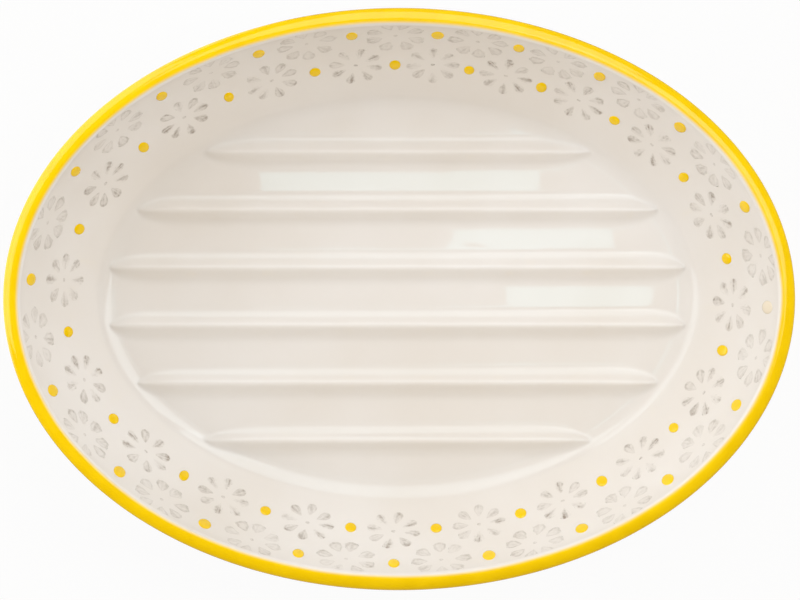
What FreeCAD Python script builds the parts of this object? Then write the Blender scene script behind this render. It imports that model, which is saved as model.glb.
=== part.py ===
"""Oval glazed stoneware soap dish: ribbed floor, flaring wall, coloured lip and two rows of raised dots.

Units are millimetres. +X runs along the dish, +Y across it and +Z up. The origin is under the middle of the
dish, on the surface that it stands on.
"""
import FreeCAD, Part
import math
import os

# Outside of the dish
DISH_LENGTH = 140.0
DISH_WIDTH = 103.0
DISH_HEIGHT = 25.0
WALL_AT_FLOOR = 3.6
OUTER_CURVE_POWER = 1.5

# Inside of the dish: flat floor, round corner, and a wall that runs up straight and curls upright under the lip
FLOOR_LENGTH = 101.8
FLOOR_WIDTH = 66.4
FLOOR_THICKNESS = 4.2
CORNER_RADIUS = 4.8
CORNER_DEGREES = 45.0
WALL_STRAIGHT_SHARE = 0.744
WALL_CURL_POWER = 4.3

# Rounded lip, and the coloured glaze that lies in a shallow rebate over its crown and down its outer side
LIP_THICKNESS = 3.4
LIP_LEAN_DEGREES = 22.0
LIP_CROWN_FLAT = 0.3
RIM_GLAZE_OUTER_DEPTH = 2.0
RIM_GLAZE_INNER_DEPTH = 0.35
RIM_GLAZE_THICKNESS = 0.3
CORE_SHOULDER_DEGREES = 55.0

# Bare foot ring under the dish
FOOT_SETBACK = 4.5
FOOT_RING_WIDTH = 3.6
FOOT_HEIGHT = 1.6
FOOT_BEVEL = 0.5

# Ribs that keep the soap off the wet floor, and run out to a rounded tip where it curves up
RIB_COUNT = 6
RIB_PITCH = 10.4
RIB_HEIGHT = 1.6
RIB_CREST_RADIUS = 0.8
RIB_FOOT_RADIUS = 2.8
RIB_FLANK_DEGREES = 40.0
RIB_TOE_DEPTH = 0.06
RIB_TIP_OVERRUN = 1.5
RIB_FULL_SHARE = 0.86
RIB_LEAST_FULL_SHARE = 0.1
RIB_TIP_SCALE = 0.08

# Raised dots of coloured glaze in two rows on the inside wall, set by hand and so a little uneven
DOT_COUNT = 20
DOT_DIAMETER = 1.9
DOT_RISE = 0.25
DOT_TOP_SHARE = 0.6
DOT_SIDE_COUNT = 8
UPPER_ROW_SHARE = 0.89
LOWER_ROW_SHARE = 0.435
LOWER_ROW_TURN_SHARE = 0.5
HAND_DRIFT_SHARES = (0.58, 0.14)
HAND_DRIFT_PEAK_SHARES = (0.65, 0.11)

# How finely the curved walls are ruled, and how far a cutting shape runs past what it cuts
CORNER_STRIP_COUNT = 4
INNER_WALL_STRIP_COUNT = 3
OUTER_WALL_STRIP_COUNT = 6
STRIP_CROWDING = 1.5
LIP_STRIP_DEGREES = 26.0
RIB_TIP_STRIP_COUNT = 4
ROW_STEP_COUNT = 720
CUT_OVERRUN = 2.0

FLOOR_TOP = FOOT_HEIGHT + FLOOR_THICKNESS
FOOT_INSET = FOOT_SETBACK - WALL_AT_FLOOR
LIP_RADIUS = LIP_THICKNESS / 2
LIP_CENTRE_HEIGHT = DISH_HEIGHT - math.sqrt(LIP_RADIUS ** 2 - LIP_CROWN_FLAT ** 2 / 4)
RIM_GLAZE_LOW = DISH_HEIGHT - RIM_GLAZE_OUTER_DEPTH
CLAY_TOP = DISH_HEIGHT - RIM_GLAZE_INNER_DEPTH
LIP_LEAN = math.radians(LIP_LEAN_DEGREES)
CORNER_TURN = math.radians(CORNER_DEGREES)
INWARD = -1
OUTWARD = 1


def oval(half_length, half_width, height):
    """Closed elliptical wire, level at a height."""
    centre = FreeCAD.Vector(0, 0, height)
    return Part.Wire([Part.Ellipse(centre, half_length, half_width).toShape()])


def stack(ovals):
    """Solid ruled through a stack of (half length, half width, height) ovals."""
    return Part.makeLoft([oval(*size) for size in ovals], True, True)


def rim_oval(inset, height):
    """Oval drawn in from the rim's outline by an inset."""
    return (DISH_LENGTH / 2 - inset, DISH_WIDTH / 2 - inset, height)


def floor_oval(inset, height):
    """Oval drawn in from the floor's outline by an inset, or let out by a negative one."""
    return (FLOOR_LENGTH / 2 - inset, FLOOR_WIDTH / 2 - inset, height)


def lip_oval(radius, side, angle):
    """Oval on one side of the lip, at an angle from straight up round the middle of the lip's thickness."""
    inset = LIP_RADIUS - side * radius * math.sin(angle)
    return rim_oval(inset, LIP_CENTRE_HEIGHT + radius * math.cos(angle))


def crown_angle(radius):
    """Angle at which a lip of a radius runs into the flat on its crown."""
    return math.asin(LIP_CROWN_FLAT / 2 / radius)


def lip_ovals(side):
    """Ovals round one side of the lip, from where the wall runs into it up to the flat on its crown."""
    start = math.pi / 2 + side * LIP_LEAN
    turn = start - crown_angle(LIP_RADIUS)
    strips = round(math.degrees(turn) / LIP_STRIP_DEGREES)
    return [lip_oval(LIP_RADIUS, side, start - turn * step / strips) for step in range(strips + 1)]


def oval_between(low, high, share, rise_share):
    """Oval between two others, at a share of the way out and a share of the way up."""
    shares = (share, share, rise_share)
    return tuple(start + part * (end - start) for start, end, part in zip(low, high, shares))


def corner_oval(angle):
    """Oval on the round corner between the floor and the inside wall, at an angle up from the floor."""
    return floor_oval(-CORNER_RADIUS * math.sin(angle), FLOOR_TOP + CORNER_RADIUS * (1 - math.cos(angle)))


def inner_wall_oval(share):
    """Oval at a share of the way out along the inside wall, from the floor's corner to the lip."""
    rise_share = WALL_STRAIGHT_SHARE * share + (1 - WALL_STRAIGHT_SHARE) * share ** WALL_CURL_POWER
    return oval_between(corner_oval(CORNER_TURN), lip_ovals(INWARD)[0], share, rise_share)


def inside_ovals():
    """Ovals of the inner surface up to the crown of the lip, with a straight strip under each row of dots."""
    corner = [corner_oval(CORNER_TURN * step / CORNER_STRIP_COUNT) for step in range(CORNER_STRIP_COUNT + 1)]
    lip = lip_ovals(INWARD)
    seat_half_share = DOT_DIAMETER / 2 / (lip[0][1] - corner[-1][1])
    shares = [step / INNER_WALL_STRIP_COUNT for step in range(1, INNER_WALL_STRIP_COUNT)]
    for row_share in (LOWER_ROW_SHARE, UPPER_ROW_SHARE):
        seat_low = row_share - seat_half_share
        seat_high = row_share + seat_half_share
        shares = [share for share in shares if not seat_low < share < seat_high]
        shares += [seat_low, seat_high]
    return corner + [inner_wall_oval(share) for share in sorted(shares)] + lip


def outside_ovals():
    """Ovals of the outer surface, from the underside beside the foot to the crown of the lip."""
    lip = lip_ovals(OUTWARD)
    base = floor_oval(-WALL_AT_FLOOR, FOOT_HEIGHT)
    ovals = []
    for step in range(OUTER_WALL_STRIP_COUNT):
        share = (step / OUTER_WALL_STRIP_COUNT) ** STRIP_CROWDING
        ovals.append(oval_between(base, lip[0], share, share ** OUTER_CURVE_POWER))
    return ovals + lip


def strip_at(ovals, height):
    """The two neighbours in a stack of ovals that a height lies between."""
    return next(pair for pair in zip(ovals, ovals[1:]) if height <= pair[1][2])


def oval_at(ovals, height):
    """Oval of a stack at a height."""
    low, high = strip_at(ovals, height)
    share = (height - low[2]) / (high[2] - low[2])
    return tuple(start + share * (end - start) for start, end in zip(low, high))


def below(ovals, height):
    """The part of a stack of ovals under a height."""
    return [size for size in ovals if size[2] < height] + [oval_at(ovals, height)]


def above(ovals, height):
    """The part of a stack of ovals over a height."""
    return [oval_at(ovals, height)] + [size for size in ovals if size[2] > height]


def raised(size, rise):
    """The same oval at another height."""
    return (size[0], size[1], size[2] + rise)


def rib_section(along, line, scale):
    """Outline of a rib across its run: round crest, straight flanks, hollow feet, and a root in the floor."""
    flank = math.radians(RIB_FLANK_DEGREES)
    crest_height = RIB_HEIGHT - RIB_CREST_RADIUS
    foot_height = RIB_FOOT_RADIUS - RIB_TOE_DEPTH
    radii = RIB_CREST_RADIUS + RIB_FOOT_RADIUS
    fall = crest_height - foot_height + radii * math.cos(flank)
    foot_reach = radii * math.sin(flank) + fall / math.tan(flank)
    root_height = -RIB_TOE_DEPTH - CUT_OVERRUN

    def point(across, height):
        return FreeCAD.Vector(along, line + scale * across, FLOOR_TOP + scale * height)

    def on_crest(angle):
        return point(RIB_CREST_RADIUS * math.sin(angle), crest_height + RIB_CREST_RADIUS * math.cos(angle))

    def on_foot(angle, side):
        across = foot_reach - RIB_FOOT_RADIUS * math.sin(angle)
        return point(side * across, foot_height - RIB_FOOT_RADIUS * math.cos(angle))

    def straight(start, end):
        return Part.LineSegment(start, end).toShape()

    edges = [Part.Arc(on_crest(-flank), on_crest(0), on_crest(flank)).toShape()]
    for side in (INWARD, OUTWARD):
        edges.append(straight(on_crest(side * flank), on_foot(flank, side)))
        edges.append(Part.Arc(on_foot(flank, side), on_foot(flank / 2, side), on_foot(0, side)).toShape())
        edges.append(straight(on_foot(0, side), point(side * foot_reach, root_height)))
    edges.append(straight(point(-foot_reach, root_height), point(foot_reach, root_height)))
    return Part.Wire(Part.__sortEdges__(edges))


def rib(line):
    """One rib along a line on the floor, full in the middle and running out to a rounded tip at both ends."""
    tip_length, tip_width, _ = floor_oval(-RIB_TIP_OVERRUN, FLOOR_TOP)
    line_share = line / tip_width
    ends = []
    for step in range(RIB_TIP_STRIP_COUNT + 1):
        turn = math.pi / 2 * step / RIB_TIP_STRIP_COUNT
        edge_share = RIB_FULL_SHARE + (1 - RIB_FULL_SHARE) * math.sin(turn)
        reach_share = math.sqrt(max(edge_share ** 2 - line_share ** 2, RIB_LEAST_FULL_SHARE ** 2))
        ends.append((tip_length * reach_share, max(math.cos(turn), RIB_TIP_SCALE)))
    sections = [rib_section(-reach, line, scale) for reach, scale in reversed(ends)]
    sections += [rib_section(reach, line, scale) for reach, scale in ends]
    return Part.makeLoft(sections, True, True)


def ribs():
    """The row of ribs along the floor."""
    return [rib((index - (RIB_COUNT - 1) / 2) * RIB_PITCH) for index in range(RIB_COUNT)]


def foot_ring():
    """Bare ring that the dish stands on, bevelled along both edges of its sole."""
    def side(inset, bevel):
        low = floor_oval(inset + bevel, 0)
        edge = floor_oval(inset, FOOT_BEVEL)
        return [low, edge, raised(edge, FOOT_HEIGHT - FOOT_BEVEL)]

    outer = side(FOOT_INSET, FOOT_BEVEL)
    inner = side(FOOT_INSET + FOOT_RING_WIDTH, -FOOT_BEVEL)
    return stack(outer).cut(stack(inner))


def lip_core():
    """Clay that carries the rim glaze: the lip, drawn in on its outer side and cut off level under the crown."""
    radius = LIP_RADIUS - RIM_GLAZE_THICKNESS
    drawn_in = RIM_GLAZE_THICKNESS / math.cos(LIP_LEAN)
    seat = oval_at(outside_ovals(), RIM_GLAZE_LOW)
    foot = (seat[0] - drawn_in, seat[1] - drawn_in, seat[2])
    shoulder = lip_oval(radius, OUTWARD, math.radians(CORE_SHOULDER_DEGREES))
    top = lip_oval(radius, OUTWARD, math.acos((CLAY_TOP - LIP_CENTRE_HEIGHT) / radius))
    return stack([foot, shoulder, top])


def hollow(ovals):
    """The room inside a stack of ovals, open at the top."""
    return stack(ovals + [raised(ovals[-1], CUT_OVERRUN)])


def rim_glaze_band():
    """Coloured glaze over the crown of the lip and down its outer side."""
    lip = stack(above(outside_ovals(), RIM_GLAZE_LOW))
    return lip.cut([lip_core(), hollow(above(inside_ovals(), CLAY_TOP))])


def stoneware_body():
    """The clay pressing: bowl wall, ribbed floor, rebated lip and foot ring."""
    bowl = stack(below(outside_ovals(), RIM_GLAZE_LOW))
    soap_well = hollow(below(inside_ovals(), CLAY_TOP)).cut(ribs())
    return bowl.fuse([lip_core(), foot_ring()]).cut(soap_well).removeSplitter()


def hand_drift(turn):
    """How far the hand has drifted at a share of the way round, as a share of the way to the next dot."""
    drift = 0
    for share, peak_share in zip(HAND_DRIFT_SHARES, HAND_DRIFT_PEAK_SHARES):
        drift += share * max(0, math.cos(2 * math.pi * (turn - peak_share))) ** 2
    return drift


def row_angles(half_length, half_width, turn_share):
    """Angles round an oval for one row of dots, clockwise from above, even but for the drift of the hand."""
    angles = [2 * math.pi * step / ROW_STEP_COUNT for step in range(ROW_STEP_COUNT + 1)]
    run = [0.0]
    for start, end in zip(angles, angles[1:]):
        along = half_length * (math.cos(end) - math.cos(start))
        across = half_width * (math.sin(end) - math.sin(start))
        run.append(run[-1] + math.hypot(along, across))
    found = []
    for index in range(DOT_COUNT):
        turn = (index + turn_share) / DOT_COUNT
        target = run[-1] * (turn + hand_drift(turn) / DOT_COUNT)
        step = next(k for k in range(ROW_STEP_COUNT) if run[k + 1] >= target)
        share = (target - run[step]) / (run[step + 1] - run[step])
        found.append(angles[step] + share * (angles[step + 1] - angles[step]))
    return found


def dot():
    """One raised dot, as a low many-sided button that stands on its flat back at the origin."""
    def outline(radius, height):
        corners = []
        for side in range(DOT_SIDE_COUNT + 1):
            angle = 2 * math.pi * side / DOT_SIDE_COUNT
            corners.append(FreeCAD.Vector(radius * math.cos(angle), radius * math.sin(angle), height))
        return Part.makePolygon(corners)

    back = outline(DOT_DIAMETER / 2, 0)
    front = outline(DOT_DIAMETER / 2 * DOT_TOP_SHARE, DOT_RISE)
    return Part.makeLoft([back, front], True, True)


def dot_row(row_share, turn_share):
    """One row of raised dots round the inside wall, each with its flat back on the wall."""
    height = inner_wall_oval(row_share)[2]
    low, high = strip_at(inside_ovals(), height)
    half_length, half_width, _ = oval_at([low, high], height)
    lean_along = (high[0] - low[0]) / (high[2] - low[2])
    lean_across = (high[1] - low[1]) / (high[2] - low[2])
    tightest_bend = half_width ** 2 / half_length
    back_lift = DOT_DIAMETER ** 2 / 4 / (2 * tightest_bend)
    upright = FreeCAD.Vector(0, 0, 1)
    dots = []
    for angle in row_angles(half_length, half_width, turn_share):
        cosine = math.cos(angle)
        sine = -math.sin(angle)
        seat = FreeCAD.Vector(half_length * cosine, half_width * sine, height)
        sideways = FreeCAD.Vector(-half_length * sine, half_width * cosine, 0)
        upwards = FreeCAD.Vector(lean_along * cosine, lean_across * sine, 1)
        inwards = upwards.cross(sideways).normalize()
        turned = FreeCAD.Rotation(upright, inwards)
        dots.append(dot().transformed(FreeCAD.Placement(seat + inwards * back_lift, turned).toMatrix()))
    return Part.makeCompound(dots)


nodes = {
    "stoneware_body": stoneware_body(),
    "rim_glaze_band": rim_glaze_band(),
    "upper_row_dots": dot_row(UPPER_ROW_SHARE, 0),
    "lower_row_dots": dot_row(LOWER_ROW_SHARE, LOWER_ROW_TURN_SHARE),
}
os.makedirs("parts", exist_ok=True)
for node, shape in nodes.items():
    solids = shape.Solids
    piece = solids[0] if len(solids) == 1 else Part.makeCompound(solids)
    piece.exportStep(f"parts/{node}.step")
    print(f"{node}: {len(solids)} solids, valid {piece.isValid()}, {piece.Volume:.1f} cubic mm")
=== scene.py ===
# %% [markdown]
# # An oval soap dish in glazed stoneware
#
# The real dish is one pressing of clay: a ribbed floor, a wall that flares up to a rounded lip, and a foot
# ring underneath. It is dipped in a cream glaze. Two rows of small flowers are stamped on the inside wall,
# drops of yellow glaze are set between them, and the lip is painted yellow by hand.
#
# The CAD model fixes the size and place of the clay, the rim band and the drops. This lesson dresses it.
# Nothing here is meant to change the dish's size. So the box of the CAD model is measured first, and at the
# end it is printed beside the dressed dish's box.

# %% Load the frame
import math

import bmesh
import bpy
from mathutils import Matrix, Quaternion, Vector


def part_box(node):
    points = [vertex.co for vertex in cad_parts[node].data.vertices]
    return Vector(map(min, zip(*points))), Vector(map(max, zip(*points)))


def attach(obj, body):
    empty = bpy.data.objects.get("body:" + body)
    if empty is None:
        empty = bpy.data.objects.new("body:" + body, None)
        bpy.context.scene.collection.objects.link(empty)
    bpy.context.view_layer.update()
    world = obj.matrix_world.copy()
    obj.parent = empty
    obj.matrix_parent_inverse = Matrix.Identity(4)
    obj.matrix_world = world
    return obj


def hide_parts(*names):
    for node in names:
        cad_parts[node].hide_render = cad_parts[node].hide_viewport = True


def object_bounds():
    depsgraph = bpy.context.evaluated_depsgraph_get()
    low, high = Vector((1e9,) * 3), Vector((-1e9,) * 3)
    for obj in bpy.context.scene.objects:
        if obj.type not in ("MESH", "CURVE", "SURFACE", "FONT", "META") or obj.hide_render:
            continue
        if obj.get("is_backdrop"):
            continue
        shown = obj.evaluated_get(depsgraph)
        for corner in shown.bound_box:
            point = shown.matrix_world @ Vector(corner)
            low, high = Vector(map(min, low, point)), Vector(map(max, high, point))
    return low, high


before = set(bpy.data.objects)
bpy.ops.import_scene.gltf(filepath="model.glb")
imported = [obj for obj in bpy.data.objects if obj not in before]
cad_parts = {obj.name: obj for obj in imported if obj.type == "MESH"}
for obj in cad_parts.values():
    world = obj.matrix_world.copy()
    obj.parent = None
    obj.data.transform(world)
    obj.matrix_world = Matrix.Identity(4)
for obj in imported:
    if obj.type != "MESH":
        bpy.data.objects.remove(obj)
cad_low, cad_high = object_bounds()
print("CAD box in metres:", tuple(cad_low), tuple(cad_high))

# %% [markdown]
# ## Sizes
#
# A maker works in millimetres, and Blender's frame is in metres, so the dish's lengths below are numbers of
# millimetres times `MM`. The outside of the dish is read from the CAD nodes. A hair's breadth is kept free
# inside that box, because a smooth curve bulges past the flat facets that the box was measured on.

# %% Sizes of the clay
MM = 0.001


def in_mm(sizes):
    """Sizes in metres as rounded millimetres, to be printed."""
    return [round(size / MM, 3) for size in sizes]


rim_low, rim_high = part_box("rim_glaze_band")
BOX_MARGIN = 0.03 * MM
DISH_HALF_LENGTH = min(-rim_low.x, rim_high.x) - BOX_MARGIN
DISH_HALF_WIDTH = min(-rim_low.y, rim_high.y) - BOX_MARGIN
DISH_HEIGHT = rim_high.z - BOX_MARGIN

FLOOR_HALF_LENGTH = 50.9 * MM
FLOOR_HALF_WIDTH = 33.2 * MM
FLOOR_TOP = 5.8 * MM
CORNER_RADIUS = 4.8 * MM
CORNER_START = math.radians(3)
CORNER_TURN = math.radians(45)
WALL_STRAIGHT_SHARE = 0.744
WALL_CURL_POWER = 4.3

LIP_RADIUS = 1.7 * MM
LIP_CROWN_SHIFT = 0.45 * MM
LIP_LEAN = math.radians(22)
RIM_GLAZE_THICKNESS = 0.1 * MM
CLAY_LIP_RADIUS = LIP_RADIUS - RIM_GLAZE_THICKNESS
LIP_CENTRE_HEIGHT = DISH_HEIGHT - LIP_RADIUS
LIP_INNER_TURN = math.pi / 2 - LIP_LEAN
LIP_OUTER_TURN = math.pi / 2 + LIP_LEAN

WALL_AT_FLOOR = 3.6 * MM
OUTER_CURVE_POWER = 1.5
FOOT_HEIGHT = 1.6 * MM
FOOT_SETBACK = 4.5 * MM
FOOT_RING_WIDTH = 3.6 * MM
FOOT_EDGE_RADIUS = 0.5 * MM
print("half length and half width of the rim in mm:", in_mm((DISH_HALF_LENGTH, DISH_HALF_WIDTH)))

# %% [markdown]
# ## Writing node trees as formulas
#
# Geometry Nodes and shaders are both made of node trees. Laying dozens of Math nodes by hand hides the
# formula that they stand for. A small class helps: a `Field` is one wire of a tree, and arithmetic on it
# lays the Math node. `height + rise * share ** 2` in Python then becomes three nodes, wired up.

# %% Fields and nodes
class Field:
    """A value on a wire of a node tree. Arithmetic on it lays Math nodes."""

    def __init__(self, tree, socket):
        self.tree = tree
        self.socket = socket

    def math(self, operation, *others):
        node = self.tree.nodes.new("ShaderNodeMath")
        node.operation = operation
        for slot, value in zip(node.inputs, (self,) + others):
            plug(self.tree, slot, value)
        return Field(self.tree, node.outputs[0])

    def __add__(self, other):
        return self.math("ADD", other)

    def __sub__(self, other):
        return self.math("SUBTRACT", other)

    def __mul__(self, other):
        return self.math("MULTIPLY", other)

    def __truediv__(self, other):
        return self.math("DIVIDE", other)

    def __pow__(self, other):
        return self.math("POWER", other)

    def __rsub__(self, other):
        return self * -1 + other

    def root(self):
        return self.math("MAXIMUM", 0.0).math("SQRT")

    def arc(self):
        """Height of a circle of radius 1, at this distance from its middle."""
        return (1.0 - self ** 2.0).root()

    def between(self, low, high):
        return self.math("MAXIMUM", low).math("MINIMUM", high)

    def ramp(self, start, end, low=0.0, high=1.0, smooth=True):
        """Goes from low to high as this field goes from start to end."""
        inputs = {"Value": self, "From Min": start, "From Max": end, "To Min": low, "To Max": high}
        shape = "SMOOTHSTEP" if smooth else "LINEAR"
        node = lay(self.tree, "ShaderNodeMapRange", inputs, interpolation_type=shape)
        return Field(self.tree, node.outputs["Result"])


def plug(tree, slot, value):
    """Wires a field or a socket into an input, or writes a plain value on it."""
    if isinstance(value, Field):
        value = value.socket
    if isinstance(value, bpy.types.NodeSocket):
        tree.links.new(value, slot)
    else:
        slot.default_value = value


def lay(tree, kind, inputs=None, **settings):
    """Adds a node with its settings, and fills its inputs by name or number."""
    node = tree.nodes.new(kind)
    for name, value in settings.items():
        setattr(node, name, value)
    for key, value in (inputs or {}).items():
        plug(tree, node.inputs[key], value)
    return node


def parts_of(tree, vector):
    """The three fields of a vector."""
    node = lay(tree, "ShaderNodeSeparateXYZ", {0: vector})
    return [Field(tree, socket) for socket in node.outputs]


def vector_of(tree, x, y, z):
    """A vector made of three fields or numbers."""
    return lay(tree, "ShaderNodeCombineXYZ", {0: x, 1: y, 2: z}).outputs[0]


# %% [markdown]
# ## Growing meshes from trees
#
# Every piece of this dish follows a rule, so each one is grown by a Geometry Nodes tree. The nodes that
# come up again and again get short names here. `grow` runs a tree on an empty mesh with its inputs set, and
# keeps the result as a plain mesh with no modifier. `face_outwards` turns the faces and counts the open
# edges, which tells at once whether a skin is closed. Only a closed skin has a volume to print.

# %% Nodes that geometry trees share
MERGE_GAP = 0.002 * MM


def choose(condition, if_true, if_false):
    """One of two values, picked point by point."""
    inputs = {"Switch": condition, "True": if_true, "False": if_false}
    node = lay(condition.tree, "GeometryNodeSwitch", inputs, input_type="FLOAT")
    return Field(condition.tree, node.outputs[0])


def position(tree):
    """The place of each point."""
    return lay(tree, "GeometryNodeInputPosition").outputs[0]


def store(tree, geometry, name, value, kind="FLOAT"):
    """The geometry with a value kept on each of its points under a name."""
    inputs = {"Geometry": geometry, "Name": name, "Value": value}
    return lay(tree, "GeometryNodeStoreNamedAttribute", inputs, data_type=kind, domain="POINT").outputs[0]


def stored(tree, name, kind="FLOAT"):
    """The value that the points carry under a name."""
    return lay(tree, "GeometryNodeInputNamedAttribute", {"Name": name}, data_type=kind).outputs[0]


def grid(tree, size, columns, rows):
    """Square grid about the origin."""
    inputs = {"Size X": size, "Size Y": size, "Vertices X": columns, "Vertices Y": rows}
    return lay(tree, "GeometryNodeMeshGrid", inputs).outputs["Mesh"]


def ball(tree, segments, rings):
    """Sphere of radius 1."""
    inputs = {"Segments": segments, "Rings": rings, "Radius": 1.0}
    return lay(tree, "GeometryNodeMeshUVSphere", inputs).outputs["Mesh"]


def shape_of(tree, source):
    """The geometry of an object."""
    return lay(tree, "GeometryNodeObjectInfo", {"Object": source}).outputs["Geometry"]


def moved(tree, geometry, place, chosen=True):
    """The geometry with its chosen points at a new place."""
    inputs = {"Geometry": geometry, "Selection": chosen, "Position": place}
    return lay(tree, "GeometryNodeSetPosition", inputs).outputs[0]


def merged(tree, geometry):
    """The geometry with points that lie on each other made one."""
    inputs = {"Geometry": geometry, "Distance": MERGE_GAP}
    return lay(tree, "GeometryNodeMergeByDistance", inputs).outputs[0]


def copies(tree, points, shape, turn, scale=(1.0, 1.0, 1.0)):
    """A copy of a shape on every point."""
    inputs = {"Points": points, "Instance": shape, "Rotation": turn, "Scale": scale}
    return lay(tree, "GeometryNodeInstanceOnPoints", inputs).outputs[0]


def realized(tree, geometry):
    """Copies made real, each one an island of the mesh."""
    return lay(tree, "GeometryNodeRealizeInstances", {"Geometry": geometry}).outputs[0]


# %% From a tree to a mesh
SOCKET_KINDS = {
    "number": "NodeSocketFloat",
    "count": "NodeSocketInt",
    "object": "NodeSocketObject",
    "material": "NodeSocketMaterial",
    "geometry": "NodeSocketGeometry",
}


def new_tree(name, **labels):
    """Empty Geometry Nodes tree with named inputs, given as label=kind, and a field for each of them."""
    tree = bpy.data.node_groups.new(name, "GeometryNodeTree")
    tree.interface.new_socket("geometry", in_out="INPUT", socket_type=SOCKET_KINDS["geometry"])
    tree.interface.new_socket("geometry", in_out="OUTPUT", socket_type=SOCKET_KINDS["geometry"])
    for label, kind in labels.items():
        tree.interface.new_socket(label, in_out="INPUT", socket_type=SOCKET_KINDS[kind])
    source = tree.nodes.new("NodeGroupInput")
    return tree, {label: Field(tree, source.outputs[label]) for label in labels}


def finish_tree(tree, geometry, material):
    """Ends a tree: instances made real, smooth shading and a material."""
    smooth = lay(tree, "GeometryNodeSetShadeSmooth", {"Geometry": realized(tree, geometry)}).outputs[0]
    coated = lay(tree, "GeometryNodeSetMaterial", {"Geometry": smooth, "Material": material}).outputs[0]
    lay(tree, "NodeGroupOutput", {"geometry": coated})


def grow(name, tree, **values):
    """Runs a tree with its inputs set, and gives the result as a plain mesh object at the origin."""
    seed = bpy.data.objects.new(name + "_seed", bpy.data.meshes.new(name + "_seed"))
    bpy.context.scene.collection.objects.link(seed)
    modifier = seed.modifiers.new("tree", "NODES")
    modifier.node_group = tree
    for item in tree.interface.items_tree:
        if item.in_out == "INPUT" and item.name in values:
            modifier[item.identifier] = values[item.name]
    depsgraph = bpy.context.evaluated_depsgraph_get()
    grown = seed.evaluated_get(depsgraph)
    mesh = bpy.data.meshes.new_from_object(grown, preserve_all_data_layers=True, depsgraph=depsgraph)
    seed.modifiers.remove(modifier)
    bpy.data.objects.remove(seed)
    piece = bpy.data.objects.new(name, mesh)
    bpy.context.scene.collection.objects.link(piece)
    return piece


def face_outwards(piece):
    """Turns all faces outwards, and says how many triangles there are and whether the mesh is closed."""
    shell = bmesh.new()
    shell.from_mesh(piece.data)
    bmesh.ops.recalc_face_normals(shell, faces=shell.faces)
    open_edges = sum(1 for edge in shell.edges if len(edge.link_faces) != 2)
    triangles = sum(len(face.verts) - 2 for face in shell.faces)
    facts = f"{piece.name}: {triangles} triangles, {open_edges} open edges"
    if open_edges == 0:
        facts += f", {shell.calc_volume(signed=True) / MM ** 3:.1f} cubic mm"
    print(facts)
    shell.to_mesh(piece.data)
    shell.free()
    return piece


# %% [markdown]
# ## A common ripple for all the glazes
#
# Fired glaze is never quite even. It runs a little thicker in places, which shifts its tone, and its skin
# has a faint orange-peel ripple that breaks up reflections. Cream, yellow and print all share that
# behaviour, so it is one shader node group: it puts out a slow change of tone and a fine height, and each
# material uses them with its own strength. It reads Object coordinates, so two pieces that meet carry one
# unbroken pattern.

# %% Noise and the shared glaze group
NOISE_MIDDLE = 0.5
NOISE_LOW = 0.3
NOISE_HIGH = 0.7
TONE_DETAIL = 3.0
TONE_ROUGHNESS = 0.55
RIPPLE_DETAIL = 1.0


def noise(tree, vector, scale, detail=2.0, roughness=0.5):
    """Smooth noise from 0 to 1, with a scale in waves per metre."""
    inputs = {"Vector": vector, "Scale": scale, "Detail": detail, "Roughness": roughness}
    return Field(tree, lay(tree, "ShaderNodeTexNoise", inputs).outputs[0])


def swing(tree, vector, scale, size):
    """Noise that swings about 0, by up to half a size."""
    return (noise(tree, vector, scale) - NOISE_MIDDLE) * size


def glaze_group():
    """Shader group with the slow tone and the fine ripple of a fired glaze."""
    group = bpy.data.node_groups.new("glaze_ripple", "ShaderNodeTree")
    for label in ("tone_scale", "ripple_scale"):
        group.interface.new_socket(label, in_out="INPUT", socket_type=SOCKET_KINDS["number"])
    for label in ("tone", "ripple"):
        group.interface.new_socket(label, in_out="OUTPUT", socket_type=SOCKET_KINDS["number"])
    source = group.nodes.new("NodeGroupInput")
    place = lay(group, "ShaderNodeTexCoord").outputs["Object"]
    cloud = noise(group, place, source.outputs["tone_scale"], TONE_DETAIL, TONE_ROUGHNESS)
    peel = noise(group, place, source.outputs["ripple_scale"], RIPPLE_DETAIL)
    lay(group, "NodeGroupOutput", {"tone": cloud.ramp(NOISE_LOW, NOISE_HIGH), "ripple": peel})
    return group


GLAZE_RIPPLE = glaze_group()
print("shared glaze group:", GLAZE_RIPPLE.name)

# %% Helpers for materials
# A Mix node has sockets for every kind of value, so those for colours are taken by number.
MIX_START = 6
MIX_END = 7
MIX_RESULT = 2


def srgb(red, green, blue):
    """A colour written as 0 to 255 per channel, turned into the linear light that shaders work in."""
    def linear(value):
        share = value / 255
        return share / 12.92 if share <= 0.04045 else ((share + 0.055) / 1.055) ** 2.4

    return (linear(red), linear(green), linear(blue), 1.0)


def new_material(name):
    """Material with an empty Principled shader, and the tree to wire it in."""
    material = bpy.data.materials.new(name)
    material.use_nodes = True
    tree = material.node_tree
    return material, tree, tree.nodes["Principled BSDF"]


def glaze(tree, tone_scale, ripple_scale):
    """Tone and ripple of the shared group, with this material's own scales."""
    scales = {"tone_scale": tone_scale, "ripple_scale": ripple_scale}
    node = lay(tree, "ShaderNodeGroup", scales, node_tree=GLAZE_RIPPLE)
    return Field(tree, node.outputs["tone"]), Field(tree, node.outputs["ripple"])


def mix(tree, share, start, end):
    """Colour that goes from start to end with a share."""
    inputs = {"Factor": share, MIX_START: start, MIX_END: end}
    return lay(tree, "ShaderNodeMix", inputs, data_type="RGBA").outputs[MIX_RESULT]


def bump(tree, shader, height, depth):
    """Fine relief on a shader, from a height between 0 and 1 and its depth in metres."""
    node = lay(tree, "ShaderNodeBump", {"Height": height, "Distance": depth, "Strength": 1.0})
    plug(tree, shader.inputs["Normal"], node.outputs[0])


def attribute(tree, name):
    """A number that the piece's mesh carries, or 0 where it has none of that name."""
    return Field(tree, lay(tree, "ShaderNodeAttribute", attribute_name=name).outputs["Fac"])


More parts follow.
